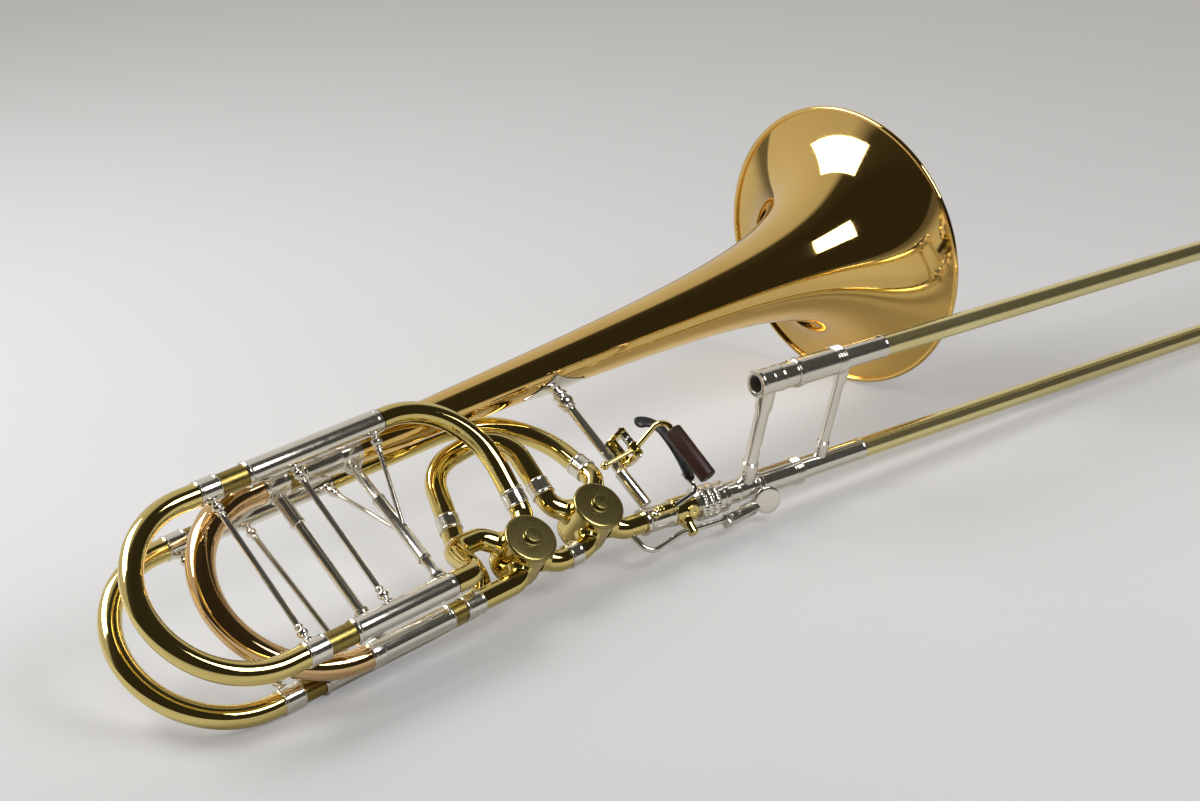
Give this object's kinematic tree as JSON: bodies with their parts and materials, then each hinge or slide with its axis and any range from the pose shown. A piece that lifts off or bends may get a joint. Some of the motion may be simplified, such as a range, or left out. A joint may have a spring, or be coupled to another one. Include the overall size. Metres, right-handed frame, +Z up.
{
  "type": "bass trombone",
  "caption": "Bass trombone with flared bell, hand slide, in-line rotary valves with thumb levers and tuning slides, lying on its side.",
  "frame": {"origin": "centre of the instrument's bounding box in plan, at table level", "axes": "+X along the level line of the bell axis towards the bell mouth, +Z up from the table it lies on, +Y from the slide side towards the bell"},
  "size_m": [1.2254, 0.3564, 0.2413],
  "materials": {
    "rose_brass": "polished lacquer",
    "yellow_brass": "polished lacquer",
    "valve_cap_brass": "turned and brushed lacquer",
    "bare_brass": "dull, drawn and greased",
    "slide_brass": "lacquered, lightly worn",
    "slide_chrome": "hard plated",
    "nickel_silver": "polished nickel silver",
    "rubber_black": "matt",
    "paddle_black": "satin",
    "roller_wood": "oiled dark wood",
    "cork": "natural cork"
  },
  "bodies": {
    "bell_section": {"bell": "rose_brass", "bell_rim_wire": "rose_brass", "bell_tail_ferrule": "nickel_silver", "main_upper_sleeve": "nickel_silver", "neckpipe": "yellow_brass", "neck_inner_leg": "bare_brass", "neck_ferrule": "nickel_silver", "bell_brace": "nickel_silver", "rear_brace": "nickel_silver", "valve1_casing": "yellow_brass", "valve2_casing": "yellow_brass", "valve1_cap": "valve_cap_brass", "valve2_cap": "valve_cap_brass", "valve1_bearing_plate": "valve_cap_brass", "valve2_bearing_plate": "valve_cap_brass", "receiver_knuckle": "yellow_brass", "valve_link_tube": "yellow_brass", "valve1_long_tube": "yellow_brass", "valve1_loop_tube": "yellow_brass", "valve2_large_bend": "yellow_brass", "valve2_small_bend": "yellow_brass", "valve_ferrules": "nickel_silver", "valve1_outer_legs": "nickel_silver", "valve2_outer_legs": "nickel_silver", "slide_receiver": "nickel_silver", "lever1_bracket": "yellow_brass", "lever2_hinge_barrel": "yellow_brass", "rest_saddle": "yellow_brass", "finger_rest_rod": "nickel_silver", "finger_rest_block": "nickel_silver", "finger_rest_disc": "nickel_silver", "slide_inner_tubes": "slide_chrome", "slide_inner_fittings": "nickel_silver", "slide_inner_brace": "nickel_silver"},
    "main_tuning_slide": {"main_tuning_bow": "rose_brass", "main_slide_fittings": "nickel_silver", "main_upper_inner_leg": "bare_brass"},
    "valve1_tuning_slide": {"valve1_bow": "yellow_brass", "valve1_inner_legs": "bare_brass", "valve1_slide_fittings": "nickel_silver"},
    "valve2_tuning_slide": {"valve2_bow": "yellow_brass", "valve2_inner_legs": "bare_brass", "valve2_slide_fittings": "nickel_silver"},
    "valve1_turning": {"valve1_rotor": "valve_cap_brass", "valve1_stop_arm": "nickel_silver"},
    "valve2_turning": {"valve2_rotor": "valve_cap_brass", "valve2_stop_arm": "nickel_silver"},
    "thumb_lever_1": {"lever1_wire": "yellow_brass", "lever1_roller": "roller_wood"},
    "thumb_lever_2": {"lever2_wire": "slide_chrome", "lever2_paddle": "paddle_black"},
    "lock_nut": {"lock_nut": "nickel_silver"},
    "hand_slide": {"slide_outer_tubes": "slide_brass", "slide_outer_sleeves": "nickel_silver", "slide_outer_brace": "nickel_silver", "slide_crook": "slide_brass", "crook_bumper": "rubber_black", "water_key_mount": "nickel_silver"},
    "water_key": {"water_key_lever": "nickel_silver", "water_key_cork": "cork"}
  },
  "joints": [
    {"name": "main_tuning_pull", "type": "slide", "parent": "bell_section", "child": "main_tuning_slide", "axis": [-0.9997, 0, -0.0258], "range_m": [0, 0.03]},
    {"name": "valve1_slide_pull", "type": "slide", "parent": "bell_section", "child": "valve1_tuning_slide", "axis": [-0.9997, 0, -0.0258], "range_m": [0, 0.06]},
    {"name": "valve2_slide_pull", "type": "slide", "parent": "bell_section", "child": "valve2_tuning_slide", "axis": [-0.9997, 0, -0.0258], "range_m": [0, 0.05]},
    {"name": "hand_slide_travel", "type": "slide", "parent": "bell_section", "child": "hand_slide", "axis": [0.9924, -0.1204, -0.0263], "range_m": [0, 0.56]},
    {"name": "lever1_press", "type": "hinge", "parent": "bell_section", "child": "thumb_lever_1", "pos_m": [-0.20229, -0.02704, 0.07017], "axis": [-0.0152, 0.8087, 0.588], "range_deg": [0, 15], "stiffness_Nm_per_rad": 0.35, "springref_deg": -20.05},
    {"name": "lever2_press", "type": "hinge", "parent": "bell_section", "child": "thumb_lever_2", "pos_m": [-0.21234, -0.06699, 0.03871], "axis": [0.9924, -0.1204, -0.0263], "range_deg": [-18, 0], "stiffness_Nm_per_rad": 0.35, "springref_deg": 20.05},
    {"name": "valve1_turn", "type": "hinge", "parent": "bell_section", "child": "valve1_turning", "pos_m": [-0.26152, -0.03946, 0.03981], "axis": [-0.0209, -0.5882, 0.8084], "range_deg": [0, 90]},
    {"name": "valve2_turn", "type": "hinge", "parent": "bell_section", "child": "valve2_turning", "pos_m": [-0.3265, -0.03946, 0.03813], "axis": [-0.0209, -0.5882, 0.8084], "range_deg": [-90, 0]},
    {"name": "lock_nut_turn", "type": "hinge", "parent": "bell_section", "child": "lock_nut", "pos_m": [-0.16387, -0.06364, 0.02758], "axis": [0.9924, -0.1204, -0.0263], "continuous": true},
    {"name": "water_key_press", "type": "hinge", "parent": "hand_slide", "child": "water_key", "pos_m": [0.5075, -0.14738, 0.02105], "axis": [0.1232, 0.9721, 0.1997], "range_deg": [-8, 0], "stiffness_Nm_per_rad": 0.08, "springref_deg": 22.92}
  ],
  "couplings": [
    {"joint": "valve1_turn", "follows": "lever1_press", "ratio": 6},
    {"joint": "valve2_turn", "follows": "lever2_press", "ratio": 5}
  ]
}
